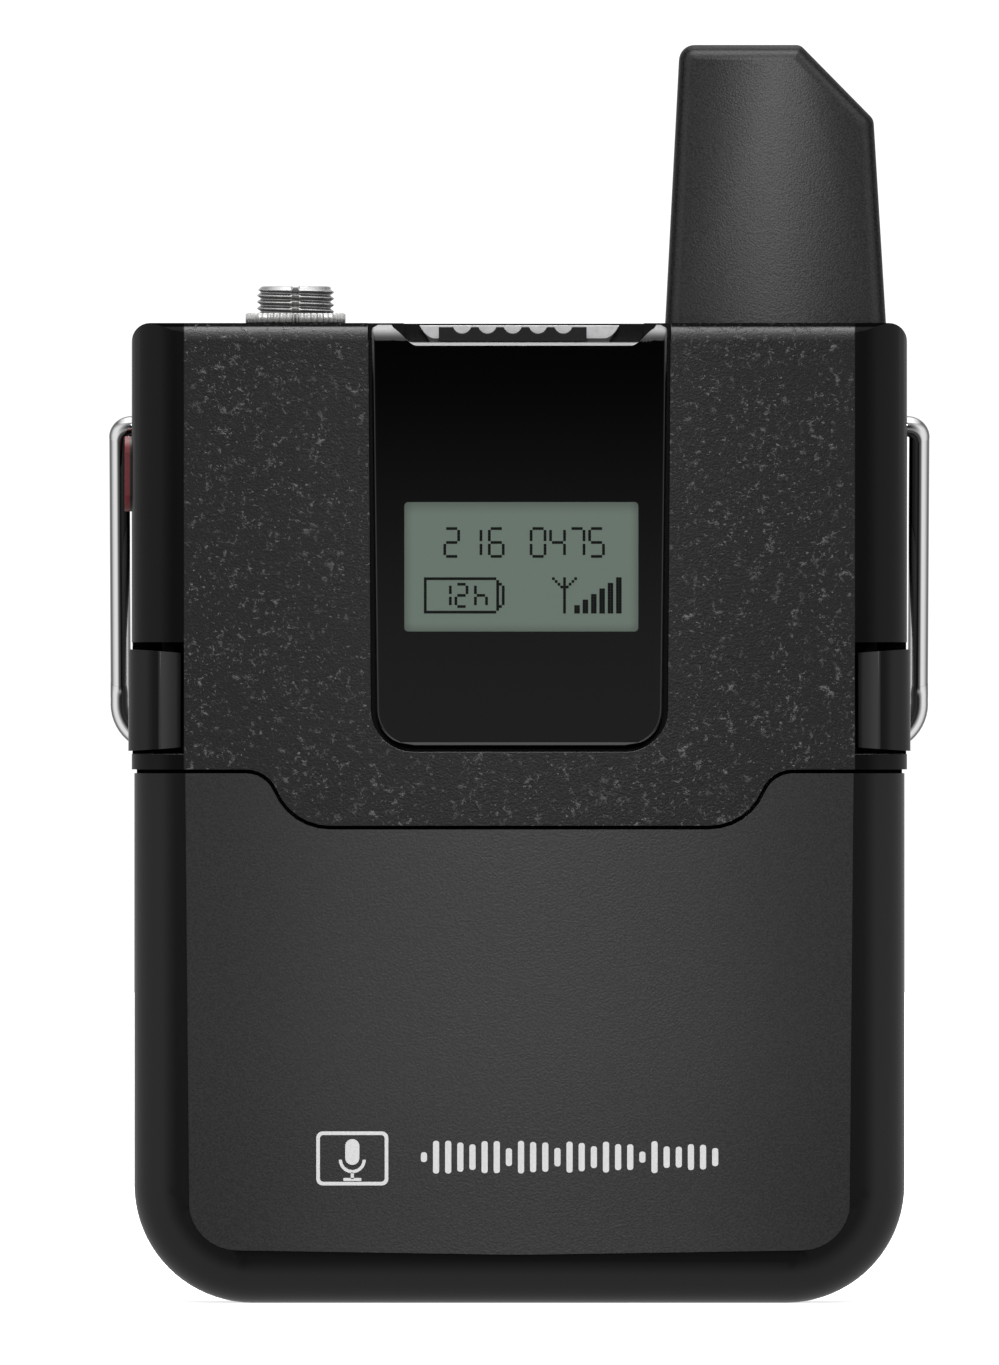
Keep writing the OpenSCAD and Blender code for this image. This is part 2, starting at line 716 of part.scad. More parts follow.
front_housing();
rear_housing();
display_window();
window_mask();
lcd_panel();
lcd_holder();
display_flex();
main_board();
rf_shield();
board_components();
slide_switch();
mute_trim();
mute_slider();
jack_collar();
jack_ring_nut();
jack_socket();
jack_contacts();
antenna_cover();
antenna_element();
antenna_feed_spring();
power_button();
power_tact_switch();
status_led_lens();
contact_carrier();
contact_springs();
latch_left();
latch_right();
latch_pins();
latch_spring_left();
latch_spring_right();
belt_clip();
housing_screws();
rating_label();
battery_front_housing();
battery_rear_housing();
battery_cell();
cell_foam_pad();
protection_board();
terminal_block();
battery_terminals();
usb_socket();
usb_tongue();
usb_board();
charge_led_lens();
battery_screws();
battery_label();
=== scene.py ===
import bpy, bmesh, json, math
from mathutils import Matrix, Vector

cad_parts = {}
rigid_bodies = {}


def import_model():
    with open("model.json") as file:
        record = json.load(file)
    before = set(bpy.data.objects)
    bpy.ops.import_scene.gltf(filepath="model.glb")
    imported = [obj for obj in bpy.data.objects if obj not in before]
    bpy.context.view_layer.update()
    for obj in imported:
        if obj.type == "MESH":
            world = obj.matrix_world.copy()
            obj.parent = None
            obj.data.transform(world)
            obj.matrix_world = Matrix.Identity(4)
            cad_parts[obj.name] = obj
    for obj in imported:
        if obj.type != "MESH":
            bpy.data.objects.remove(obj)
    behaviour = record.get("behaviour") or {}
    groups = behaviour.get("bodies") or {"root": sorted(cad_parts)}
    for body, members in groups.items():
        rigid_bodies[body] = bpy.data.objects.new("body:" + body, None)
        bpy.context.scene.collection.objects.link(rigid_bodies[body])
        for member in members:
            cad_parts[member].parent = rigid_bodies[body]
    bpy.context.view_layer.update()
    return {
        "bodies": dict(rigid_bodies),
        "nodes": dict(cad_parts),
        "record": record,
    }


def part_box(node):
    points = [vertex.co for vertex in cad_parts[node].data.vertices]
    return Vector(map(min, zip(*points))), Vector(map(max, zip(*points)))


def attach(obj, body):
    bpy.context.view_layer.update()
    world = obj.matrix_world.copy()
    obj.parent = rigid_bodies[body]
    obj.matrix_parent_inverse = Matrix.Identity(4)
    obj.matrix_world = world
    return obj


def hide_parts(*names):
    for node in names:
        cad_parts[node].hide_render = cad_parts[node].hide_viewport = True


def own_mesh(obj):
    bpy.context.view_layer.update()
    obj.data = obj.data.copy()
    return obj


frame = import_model()
MM = 0.001
nodes = frame["nodes"]
record = frame["record"]


def edges_mm(node):
    """Lowest and highest corner of a CAD node in millimetres."""
    lo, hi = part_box(node)
    return lo / MM, hi / MM


def grey(v):
    return (v, v, v)


def shade(tone, factor):
    return tuple(factor * v for v in tone)


# ---------------------------------------------------------------- places taken from the frame, millimetres
case_lo, case_hi = edges_mm("front_housing")
case_top, front = case_hi.z, case_lo.y
rear_lo, rear_hi = edges_mm("rear_housing")
pack_lo, pack_hi = edges_mm("battery_rear_housing")
antenna_lo, antenna_hi = edges_mm("antenna_cover")
window_lo, window_hi = edges_mm("display_window")
readout_lo, readout_hi = edges_mm("lcd_panel")
collar_lo, collar_hi = edges_mm("jack_collar")
nut_lo, nut_hi = edges_mm("jack_ring_nut")
jack_x, jack_y = (nut_lo.x + nut_hi.x) / 2, (nut_lo.y + nut_hi.y) / 2
spring_lo, spring_hi = edges_mm("latch_spring_right")
latch_lo, latch_hi = edges_mm("latch_right")


# ---------------------------------------------------------------- node helpers
class Nodes:
    """Short names for building a shader tree. Lengths are in metres unless a name ends in mm."""

    def __init__(self, name):
        self.material = bpy.data.materials.new(name)
        self.material.use_nodes = True
        self.tree = self.material.node_tree
        self.out = self.tree.nodes["Principled BSDF"]
        self.coord = self.add("ShaderNodeTexCoord").outputs["Object"]
        self.normal = None

    def add(self, kind, **props):
        n = self.tree.nodes.new(kind)
        for k, v in props.items():
            setattr(n, k, v)
        return n

    def link(self, value, socket):
        if hasattr(value, "is_output"):
            self.tree.links.new(value, socket)
        else:
            socket.default_value = value

    def math(self, op, a, b=0.0):
        n = self.add("ShaderNodeMath", operation=op)
        self.link(a, n.inputs[0])
        self.link(b, n.inputs[1])
        return n.outputs[0]

    def times(self, first, *others):
        for v in others:
            first = self.math("MULTIPLY", first, v)
        return first

    def larger(self, a, b):
        return self.math("MAXIMUM", a, b)

    def part(self, vector, i):
        n = self.add("ShaderNodeSeparateXYZ")
        self.link(vector, n.inputs[0])
        return n.outputs[i]

    def axis(self, i):
        """One coordinate of the place on the object."""
        return self.part(self.coord, i)

    def across(self):
        """Distance from the middle plane."""
        return self.math("ABSOLUTE", self.axis(0))

    def true_normal(self):
        return self.add("ShaderNodeNewGeometry").outputs["Normal"]

    def tilt(self, i):
        """One component of the surface's direction."""
        return self.part(self.true_normal(), i)

    def facing(self):
        """0 where the surface faces the eye, 1 at grazing angles."""
        n = self.add("ShaderNodeLayerWeight")
        n.inputs["Blend"].default_value = 0.5
        return n.outputs["Facing"]

    def noise(self, size_mm, detail=2.0, rough=0.5, distort=0.0):
        m = self.add("ShaderNodeMapping")
        m.inputs["Scale"].default_value = [1 / (size_mm * MM)] * 3
        self.link(self.coord, m.inputs["Vector"])
        n = self.add("ShaderNodeTexNoise")
        n.inputs["Scale"].default_value = 1.0
        n.inputs["Detail"].default_value = detail
        n.inputs["Roughness"].default_value = rough
        n.inputs["Distortion"].default_value = distort
        self.link(m.outputs[0], n.inputs["Vector"])
        return n.outputs["Fac"]

    def ramp(self, value, lo, hi, a=0.0, b=1.0):
        """a below lo, b above hi, eased between."""
        n = self.add("ShaderNodeMapRange", interpolation_type="SMOOTHSTEP")
        self.link(value, n.inputs["Value"])
        for key, v in (("From Min", lo), ("From Max", hi), ("To Min", a), ("To Max", b)):
            self.link(v, n.inputs[key])
        return n.outputs["Result"]

    def mix(self, fac, a, b):
        n = self.add("ShaderNodeMix", data_type="RGBA")
        self.link(fac, n.inputs[0])
        for v, s in ((a, n.inputs[6]), (b, n.inputs[7])):
            self.link((*v, 1) if isinstance(v, tuple) else v, s)
        return n.outputs[2]

    def blend(self, fac, a, b):
        n = self.add("ShaderNodeMix", data_type="FLOAT")
        for v, s in ((fac, n.inputs[0]), (a, n.inputs[2]), (b, n.inputs[3])):
            self.link(v, s)
        return n.outputs[0]

    def bump(self, height, depth_mm):
        n = self.add("ShaderNodeBump")
        n.inputs["Distance"].default_value = depth_mm * MM
        n.inputs["Strength"].default_value = 1.0
        self.link(height, n.inputs["Height"])
        if self.normal is not None:
            self.link(self.normal, n.inputs["Normal"])
        self.normal = n.outputs["Normal"]

    def dome(self, centre_mm, per_mm, mask=1.0):
        """Leans the shading normal sideways in proportion to X, as on a slightly bowed face."""
        lean = self.math("MULTIPLY", self.math("SUBTRACT", self.axis(0), centre_mm * MM), per_mm / MM)
        c = self.add("ShaderNodeCombineXYZ")
        self.link(self.math("MULTIPLY", lean, mask), c.inputs[0])
        s = self.add("ShaderNodeVectorMath", operation="ADD")
        self.link(self.true_normal(), s.inputs[0])
        self.link(c.outputs[0], s.inputs[1])
        n = self.add("ShaderNodeVectorMath", operation="NORMALIZE")
        self.link(s.outputs[0], n.inputs[0])
        self.normal = n.outputs[0]

    def done(self, color, rough, metal=0.0, coat=0.0, spec=0.5):
        o = self.out.inputs
        self.link((*color, 1) if isinstance(color, tuple) else color, o["Base Color"])
        self.link(rough, o["Roughness"])
        self.link(metal, o["Metallic"])
        self.link(coat, o["Coat Weight"])
        o["Coat Roughness"].default_value = 0.03
        self.link(spec, o["Specular IOR Level"])
        if self.normal is not None:
            self.link(self.normal, o["Normal"])
        return self.material


# ---------------------------------------------------------------- materials
def plain(name, color, rough, metal=0.0, size=0.25, vary=0.12, grain=0.0, coat=0.0):
    """A surface whose colour and roughness wander a little, with an optional fine grain."""
    n = Nodes(name)
    f = n.noise(size, 3)
    c = n.mix(n.ramp(f, 0.3, 0.7), shade(color, 1 - vary), shade(color, 1 + vary))
    r = n.ramp(f, 0.3, 0.7, rough * 0.85, rough * 1.15)
    if grain:
        n.bump(f, grain)
    return n.done(c, r, metal, coat)


def satin(name, tone, rough, sheen, grain=0.001):
    """Smooth moulded black whose reflection stays low towards its outline."""
    n = Nodes(name)
    skin = n.noise(0.15, 2)
    n.bump(skin, grain)
    c = n.mix(skin, shade(tone, 0.85), shade(tone, 1.15))
    return n.done(c, rough, spec=n.ramp(n.facing(), 0.0, 0.9, sheen, sheen * 0.1))


def panel_mask(n, half, lean, low):
    """1 on the raised front panel, 0 on the smooth bands around it."""
    x = n.math("ADD", n.across(), n.times(n.axis(2), -lean))
    inside = n.ramp(x, (half - 0.06) * MM, (half + 0.04) * MM, 1.0, 0.0)
    face = n.ramp(n.axis(1), (front + 0.1) * MM, (front + 0.14) * MM, 1.0, 0.0)
    near = n.ramp(n.axis(1), (front + 1.2) * MM, (front + 1.5) * MM, 1.0, 0.0)
    above = n.ramp(n.axis(2), low * MM, (low + 0.5) * MM)
    return n.times(inside, n.larger(face, n.times(near, above)))


def coarse_skin(n, tone):
    """Tone and height of coarse moulding with light flecks and dark pits."""
    fine = n.noise(0.17, 2, 0.6)
    worm = n.noise(0.60, 4, 0.65, distort=0.3)
    speck = n.noise(0.28, 2, 0.5, distort=0.2)
    spread = n.ramp(n.noise(2.2, 1), 0.35, 0.65, 0.35, 1.0)
    fleck = n.times(n.larger(n.ramp(worm, 0.57, 0.72), n.ramp(speck, 0.62, 0.78)), spread)
    pit = n.ramp(n.noise(0.35, 2, 0.5, distort=0.8), 0.28, 0.42)
    mixed = n.mix(pit, shade(tone, 0.5), n.mix(fleck, tone, grey(0.11)))
    return mixed, n.math("ADD", n.times(fleck, 0.9), n.times(fine, 0.4))


def fine_skin(n, tone):
    """Tone and height of fine, even grain."""
    fine = n.noise(0.17, 2, 0.6)
    return n.mix(n.ramp(fine, 0.25, 0.75), shade(tone, 0.35), shade(tone, 1.65)), fine


def case_material(name, half, lean, low, band, band_sheen, skin, panel, panel_sheen, side_fade, foot_fade,
                  rough, depth, bow):
    """A textured front panel between smooth bands, with a painted highlight on its upward-facing edges below
    the top.

    The panel is half wide at each side, leans out by lean per millimetre of height, and wraps over its
    lower edge above low. Its sheen fades to side_fade at the sides and to foot_fade at the foot.
    """
    n = Nodes(name)
    mask = panel_mask(n, half, lean, low)
    n.dome(0, bow, mask)
    panel_tone, height = skin(n, panel)
    band_skin = n.noise(0.12, 2)
    band_tone = n.mix(band_skin, shade(band, 0.9), shade(band, 1.1))
    n.bump(n.blend(mask, n.times(band_skin, 0.04), height), depth)

    rise = n.tilt(2)
    below_top = n.ramp(n.axis(2), (case_top - 4) * MM, (case_top - 3) * MM, 1.0, 0.0)
    # Painted highlight: upward-facing edges below the top are coloured light grey where light from above
    # would catch them.
    painted_edge_highlight = n.times(n.ramp(rise, 0.3, 0.7), below_top, n.ramp(n.tilt(1), -0.5, -0.3, 1.0, 0.0))
    tone = n.mix(painted_edge_highlight, n.mix(mask, band_tone, panel_tone), grey(0.3))

    band_shine = n.times(n.ramp(n.facing(), 0.0, 0.9, band_sheen, band_sheen * 0.1),
                         n.ramp(rise, 0.05, 0.5, 1.0, 0.1))
    panel_shine = n.times(n.ramp(n.across(), 12 * MM, 27 * MM, panel_sheen, side_fade * panel_sheen),
                          n.ramp(n.axis(2), 7 * MM, 22 * MM, foot_fade, 1.0))
    shine = n.times(n.blend(mask, band_shine, panel_shine), n.ramp(rise, 0.72, 0.82, 1.0, 0.0))
    return n.done(tone, n.blend(mask, 0.25, rough), spec=shine)


def latch_material():
    """Satin black, with a painted highlight on the crease where the side turns to the front and on its
    upward-facing top edge.
    """
    crease = 28.0
    n = Nodes("latch_satin")
    skin = n.noise(0.15, 2)
    n.bump(skin, 0.001)
    across = n.across()
    # Painted highlights along the crease and on the upward-facing top edge, mixed in as lighter grey below.
    crease_highlight = n.times(n.ramp(across, (crease - 1.2) * MM, (crease - 0.1) * MM, 0.35, 1.0),
                        n.ramp(across, (crease - 0.05) * MM, (crease + 0.15) * MM, 1.0, 0.0))
    top_edge_highlight = n.times(n.ramp(n.tilt(2), 0.2, 0.6), n.ramp(n.tilt(1), -0.5, -0.3, 1.3, 0.0))
    dark = n.mix(skin, (0.0026, 0.0026, 0.0028), (0.0034, 0.0034, 0.0036))
    c = n.mix(n.larger(crease_highlight, top_edge_highlight), dark, grey(0.028))
    return n.done(c, 0.25, spec=n.ramp(n.facing(), 0.0, 0.9, 0.3, 0.03))


def clip_material():
    """Bright plated wire with painted dark reflections towards its outline, on its upward faces and along the
    middle of its leaning legs.
    """
    n = Nodes("clip_chrome")
    rise = n.tilt(2)
    # Painted reflections: the colour darkens towards the outline and on upward faces, and a painted dark line
    # runs along the middle of the leaning legs.
    c = n.mix(n.ramp(n.facing(), 0.2, 0.55), (0.8, 0.8, 0.81), grey(0.1))
    c = n.mix(n.ramp(rise, 0.1, 0.6), c, grey(0.12))
    middle = n.ramp(n.math("ABSOLUTE", n.tilt(0)), 0.1, 0.35, 1.0, 0.0)
    leaning = n.ramp(rise, -0.4, -0.2, 1.0, 0.0)
    c = n.mix(n.times(middle, leaning), c, grey(0.06))
    return n.done(c, n.ramp(n.noise(1.5, 3), 0.3, 0.7, 0.08, 0.12), 1.0)


def plated_material():
    """Dull nickel with a grey body tone under its reflections, and painted shade towards its outline, on
    faces turned up or down and in the keyway.
    """
    slot_half = 0.28
    n = Nodes("jack_nickel")
    aside = n.math("ABSOLUTE", n.math("SUBTRACT", n.axis(0), jack_x * MM))
    # Painted shade in the keyway, on faces towards the front.
    keyway = n.times(n.ramp(aside, (slot_half - 0.04) * MM, (slot_half + 0.04) * MM, 0.8, 0.0),
                     n.ramp(n.tilt(1), -0.9, -0.7, 1.0, 0.0))
    rise = n.tilt(2)
    painted_turn_shade = n.larger(n.ramp(rise, 0.2, 0.7), n.ramp(rise, -0.6, -0.2, 0.8, 0.0))
    # Painted shade: darker towards the outline and where the surface turns up or down.
    c = n.mix(n.ramp(n.facing(), 0.25, 0.95), (0.52, 0.52, 0.51), grey(0.16))
    c = n.mix(painted_turn_shade, c, grey(0.12))
    c = n.mix(keyway, c, grey(0.02))
    return n.done(c, n.ramp(n.noise(0.6, 3), 0.3, 0.7, 0.24, 0.3), 0.6)


def button_material():
    """Red cap, with painted shade where it enters the case."""
    inner = -case_lo.x + 0.1
    n = Nodes("button_red")
    # Painted shade: the cap turns nearly black where it enters the case.
    outside = n.ramp(n.across(), inner * MM, (inner + 0.12) * MM)
    red = n.mix(n.ramp(n.noise(0.3, 3), 0.3, 0.7), (0.12, 0.011, 0.014), (0.15, 0.014, 0.018))
    return n.done(n.mix(outside, grey(0.003), red), 0.4, spec=0.3)


def window_material():
    """Deep gloss black with a painted reflection that grows lighter towards its foot, and painted grey
    highlights on its turned edges.
    """
    n = Nodes("window_gloss")
    height = (window_hi.z - window_lo.z) * MM
    z = n.math("DIVIDE", n.math("SUBTRACT", n.axis(2), window_lo.z * MM), height)
    rise = n.tilt(2)
    high = n.ramp(z, 0.9, 0.94)
    top = n.times(n.ramp(rise, 0.05, 0.6), high)
    side = n.times(n.ramp(n.math("ABSOLUTE", n.tilt(0)), 0.3, 0.8), n.ramp(z, 0.86, 0.96))
    foot = n.times(n.ramp(rise, -0.7, -0.3, 1.0, 0.0), n.ramp(rise, -0.95, -0.85))
    # Painted reflection: the colour grows lighter towards the foot.
    c = n.mix(n.ramp(z, 0.0, 1.04), grey(0.011), grey(0.0002))
    # Painted highlights on the top edge, the upper sides and the down-facing foot edge.
    c = n.mix(n.larger(top, n.times(side, 0.5)), c, grey(0.17))
    c = n.mix(foot, c, grey(0.16))
    blurred = n.larger(n.times(n.ramp(rise, 0.01, 0.06), high), foot)
    return n.done(c, n.blend(blurred, n.ramp(n.noise(3.0, 2), 0.3, 0.7, 0.03, 0.05), 0.5))


def lcd_material(lo, hi):
    """Grey-green readout, darker towards its edges where the print above it throws a shadow."""
    n = Nodes("lcd_face")
    shadow = 1.0
    for i, low, high in ((0, lo[0], hi[0]), (2, lo[1], hi[1])):
        for edge, inwards, wide in ((low, 1, 0.8), (high, -1, 1.1 if i == 2 else 0.8)):
            gap = n.times(n.math("SUBTRACT", n.axis(i), edge * MM), inwards / MM)
            shadow = n.times(shadow, n.ramp(gap, -0.3, wide, 0.5, 1.0))
    c = n.mix(shadow, grey(0.0), (0.093, 0.13, 0.104))
    c = n.mix(n.ramp(n.noise(0.3, 2), 0.3, 0.7, 0.0, 0.06), c, (0.07, 0.095, 0.077))
    return n.done(c, 0.5, coat=0.6)


def antenna_material():
    """Grained black on a bowed face."""
    centre, bow = 19.8, 0.029
    n = Nodes("antenna_grain")
    n.dome(centre, bow)
    fine = n.noise(0.15, 2, 0.6)
    c = n.mix(n.ramp(fine, 0.3, 0.7), (0.0005, 0.0005, 0.0006), (0.013, 0.013, 0.0132))
    n.bump(fine, 0.017)
    return n.done(c, 0.36, spec=n.ramp(n.facing(), 0.02, 0.3, 0.44, 0.04))


def trim_material():
    """Light boat-shaped trough on a black foot. Its floor rises at both ends."""
    low_z, half, end = edges_mm("mute_trim")[1].z - 1.0, 7.8, 1.2
    n = Nodes("trim_grey")
    out = n.math("DIVIDE", n.math("SUBTRACT", n.across(), (half - end) * MM), end * MM)
    rise = n.math("POWER", n.larger(out, 0.0), 2.0)
    height = n.math("DIVIDE", n.math("SUBTRACT", n.axis(2), low_z * MM), MM)
    light = n.ramp(n.math("SUBTRACT", height, rise), -0.04, 0.04)
    c = n.mix(n.ramp(n.noise(0.5, 2), 0.3, 0.7), (0.5, 0.5, 0.51), (0.58, 0.58, 0.59))
    return n.done(n.mix(light, grey(0.006), c), 0.3)


lcd_mid_x, lcd_mid_z, lcd_w, lcd_h = (readout_lo.x + readout_hi.x) / 2, 57.32, 18.2, 10.07
lcd_lo = (lcd_mid_x - lcd_w / 2, lcd_mid_z - lcd_h / 2)
lcd_hi = (lcd_mid_x + lcd_w / 2, lcd_mid_z + lcd_h / 2)

mat = {
    "upper": case_material(
        "upper_case", half=26.1, lean=0, low=30, band=(0.002, 0.002, 0.0021), band_sheen=0.16,
        skin=coarse_skin, panel=(0.006, 0.006, 0.0062), panel_sheen=0.3, side_fade=1.0, foot_fade=1.0,
        rough=0.4, depth=0.09, bow=0.007),
    "lower": case_material(
        "lower_case", half=25.62, lean=0.0092, low=9, band=(0.004, 0.004, 0.0042), band_sheen=0.28,
        skin=fine_skin, panel=(0.0085, 0.0085, 0.0087), panel_sheen=0.65, side_fade=0.68, foot_fade=0.86,
        rough=0.42, depth=0.02, bow=0.009),
    "back": satin("back_case", (0.007, 0.007, 0.0072), 0.4, 0.3, 0.008),
    "satin": satin("satin_black", (0.004, 0.004, 0.0042), 0.3, 0.25),
    "pin": satin("pin_black", (0.002, 0.002, 0.002), 0.6, 0.05),
    "dots": satin("lcd_dots", (0.001, 0.0016, 0.0014), 0.6, 0.1),
    "latch": latch_material(),
    "chrome": clip_material(),
    "plated": plated_material(),
    "red": button_material(),
    "window": window_material(),
    "lcd_face": lcd_material(lcd_lo, lcd_hi),
    "antenna": antenna_material(),
    "grey": trim_material(),
    "steel": plain("bright_steel", (0.62, 0.62, 0.63), 0.2, metal=1.0, size=0.8),
    "nickel": plain("nickel", (0.68, 0.66, 0.64), 0.16, metal=1.0, size=0.6, vary=0.05),
    "gold": plain("contact_gold", (0.75, 0.55, 0.22), 0.22, metal=1.0, size=0.6),
    "green": plain("board_green", (0.02, 0.1, 0.045), 0.35, size=1.2, coat=0.3),
    "lcd": plain("lcd_glass", (0.16, 0.2, 0.165), 0.3, size=0.5),
    "white": plain("white_frame", (0.7, 0.71, 0.69), 0.4, size=0.5),
    "amber": plain("flex_amber", (0.5, 0.22, 0.04), 0.3, size=0.6),
    "label": plain("label_film", (0.5, 0.51, 0.52), 0.35, size=0.6, vary=0.05),
    "foil": plain("cell_foil", (0.4, 0.42, 0.46), 0.3, metal=0.8, size=1.4),
    "foam": plain("foam", (0.05, 0.05, 0.055), 0.9, size=0.4, grain=0.04),
    "lens": plain("lens", (0.6, 0.62, 0.6), 0.2, size=0.6, coat=0.5),
    "screw": plain("screw_black", (0.03, 0.03, 0.03), 0.35, metal=0.7, size=0.6),
    "mark": plain("mark_print", (0.64, 0.64, 0.64), 0.45, size=0.2, vary=0.04),
}
slot_look = {
    "case_plastic": "back", "window_plastic": "window", "mask_print": "satin", "lcd_glass": "lcd",
    "white_plastic": "white", "flex_film": "amber", "board": "green", "shield_steel": "steel",
    "chip_black": "satin", "trim_plastic": "grey", "control_plastic": "satin", "nickel": "nickel",
    "black_plastic": "satin", "contact_gold": "gold", "antenna_plastic": "back", "button_red": "red",
    "lens": "lens", "clip_chrome": "chrome", "screw_black": "screw", "label_film": "label",
    "cell_foil": "foil", "foam": "foam",
}
node_look = {
    "front_housing": "upper", "battery_front_housing": "lower", "latch_left": "latch", "latch_right": "latch",
    "latch_pins": "pin",
}
soft_edge_mm = {
    "front_housing": 0.16, "battery_front_housing": 0.18, "rear_housing": 0.16, "battery_rear_housing": 0.18,
    "latch_left": 0.15, "latch_right": 0.15, "mute_slider": 0.06, "mute_trim": 0.06,
}
slot_of = {s["node"]: s["material_slot"] for s in record["subparts"]}


def soften(o, edge_mm):
    """Small bevels on the sharp edges of a carried-over CAD node."""
    for p in o.data.polygons:
        p.use_smooth = True
    o.modifiers.new("weld", "WELD").merge_threshold = 1e-6
    flat = o.modifiers.new("flat", "DECIMATE")
    flat.decimate_type = "DISSOLVE"
    flat.angle_limit = math.radians(0.5)
    edge = o.modifiers.new("edge", "BEVEL")
    edge.width = edge_mm * MM
    edge.segments = 3
    edge.limit_method = "ANGLE"
    edge.angle_limit = math.radians(25)
    o.modifiers.new("normals", "WEIGHTED_NORMAL").weight = 100


for name, o in nodes.items():
    o.data.materials.clear()
    o.data.materials.append(mat[node_look.get(name, slot_look[slot_of[name]])])
    if name != "belt_clip":
        soften(o, soft_edge_mm.get(name, 0.04))


# ---------------------------------------------------------------- mesh helpers
def piece(name, shape, body, look, stands_for=(), sharp=40):
    """A new mesh in millimetres, riding on a CAD body."""
    verts, faces = shape
    me = bpy.data.meshes.new(name)
    me.from_pydata([tuple(c * MM for c in v) for v in verts], [], faces)
    bm = bmesh.new()
    bm.from_mesh(me)
    bmesh.ops.remove_doubles(bm, verts=bm.verts, dist=1e-7)
    bmesh.ops.recalc_face_normals(bm, faces=bm.faces)
    bm.to_mesh(me)
    bm.free()
    for p in me.polygons:
        p.use_smooth = True
    me.set_sharp_from_angle(angle=math.radians(sharp))
    me.materials.append(mat[look])
    o = bpy.data.objects.new(name, me)
    bpy.context.scene.collection.objects.link(o)
    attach(o, body)
    if stands_for:
        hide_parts(*stands_for)
    return o


def frame_corners(x0, z0, x1, z1, r):
    """Four rounded corners of an upright rectangle, counter-clockwise."""
    return [(x0, z0, r), (x1, z0, r), (x1, z1, r), (x0, z1, r)]


def ring(corners, inset=0.0, per=8):
    """Points of a rounded outline, counter-clockwise corners (x, z, radius), moved inwards by inset."""
    n = len(corners)
    pts = [Vector(c[:2]) for c in corners]
    out = []
    edge = []
    for i in range(n):
        d = (pts[(i + 1) % n] - pts[i]).normalized()
        edge.append((pts[i] + Vector((-d.y, d.x)) * inset, d))
    for i in range(n):
        (p0, d0), (p1, d1) = edge[i - 1], edge[i]
        cross = d0.x * d1.y - d0.y * d1.x
        if abs(cross) < 1e-6:
            out += [p1.copy() for _ in range(per + 1)]
            continue
        t = ((p1 - p0).x * d1.y - (p1 - p0).y * d1.x) / cross
        corner = p0 + d0 * t
        r = max(corners[i][2] + (-inset if cross > 0 else inset), 0.01)
        turn = math.atan2(cross, d0.dot(d1))
        reach = r * math.tan(abs(turn) / 2)
        side = 1 if turn > 0 else -1
        centre = corner - d0 * reach + Vector((-d0.y, d0.x)) * r * side
        start = corner - d0 * reach - centre
        for k in range(per + 1):
            a = turn * k / per
            out.append(centre + Vector((start.x * math.cos(a) - start.y * math.sin(a),
                                        start.x * math.sin(a) + start.y * math.cos(a))))
    return out


def at_depth(outline, y):
    """Points of an upright outline placed at depth y."""
    return [(p[0], y, p[1]) for p in outline]


def loft(rings, close_start=True, close_end=True):
    """Faces between rings of equal length, as (verts, faces)."""
    n = len(rings[0])
    last = (len(rings) - 1) * n
    verts = [tuple(p) for r in rings for p in r]
    faces = []
    for a in range(0, last, n):
        b = a + n
        for i in range(n):
            j = (i + 1) % n
            faces.append((a + i, a + j, b + j, b + i))
    if close_start:
        faces.append(tuple(range(n))[::-1])
    if close_end:
        faces.append(tuple(range(last, last + n)))
    return verts, faces


def join(parts):
    """One (verts, faces) from several."""
    verts, faces = [], []
    for v, f in parts:
        k = len(verts)
        verts += v
        faces += [tuple(i + k for i in face) for face in f]
    return verts, faces


# ---------------------------------------------------------------- antenna
def antenna():
    """Flat blade, thinner upwards, with soft edges and a cut corner. Its foot sinks into the case."""
    base_z, sunk, soft, steps = case_top + 0.02, 1.4, 1.15, 6
    mid_y = (antenna_lo.y + antenna_hi.y) / 2
    half_root, half_tip = (antenna_hi.y - antenna_lo.y) / 2, 3.2
    tip_z = antenna_hi.z
    outline = [(11.37, base_z - sunk, 0.02), (antenna_hi.x + 0.06, base_z - sunk, 0.02),
               (27.6, tip_z - 5.8, 1.0), (21.9, tip_z, 0.8), (12.5, tip_z, 1.2)]

    def half_depth(z):
        return half_root + (half_tip - half_root) * (z - base_z) / (tip_z - base_z)

    def edge_ring(side, k):
        turn = math.pi / 2 * k / steps
        inset, deep = soft * (1 - math.cos(turn)), soft * (1 - math.sin(turn))
        points = []
        for p in ring(outline, inset):
            z = max(p.y, base_z)
            points.append((p.x, mid_y - side * (half_depth(z) - deep), z))
        return points

    front_rings = [edge_ring(1, k) for k in range(steps, -1, -1)]
    back_rings = [edge_ring(-1, k) for k in range(steps + 1)]
    return loft(front_rings + back_rings)


piece("antenna_body", antenna(), "transmitter", "antenna", ("antenna_cover",), sharp=50)


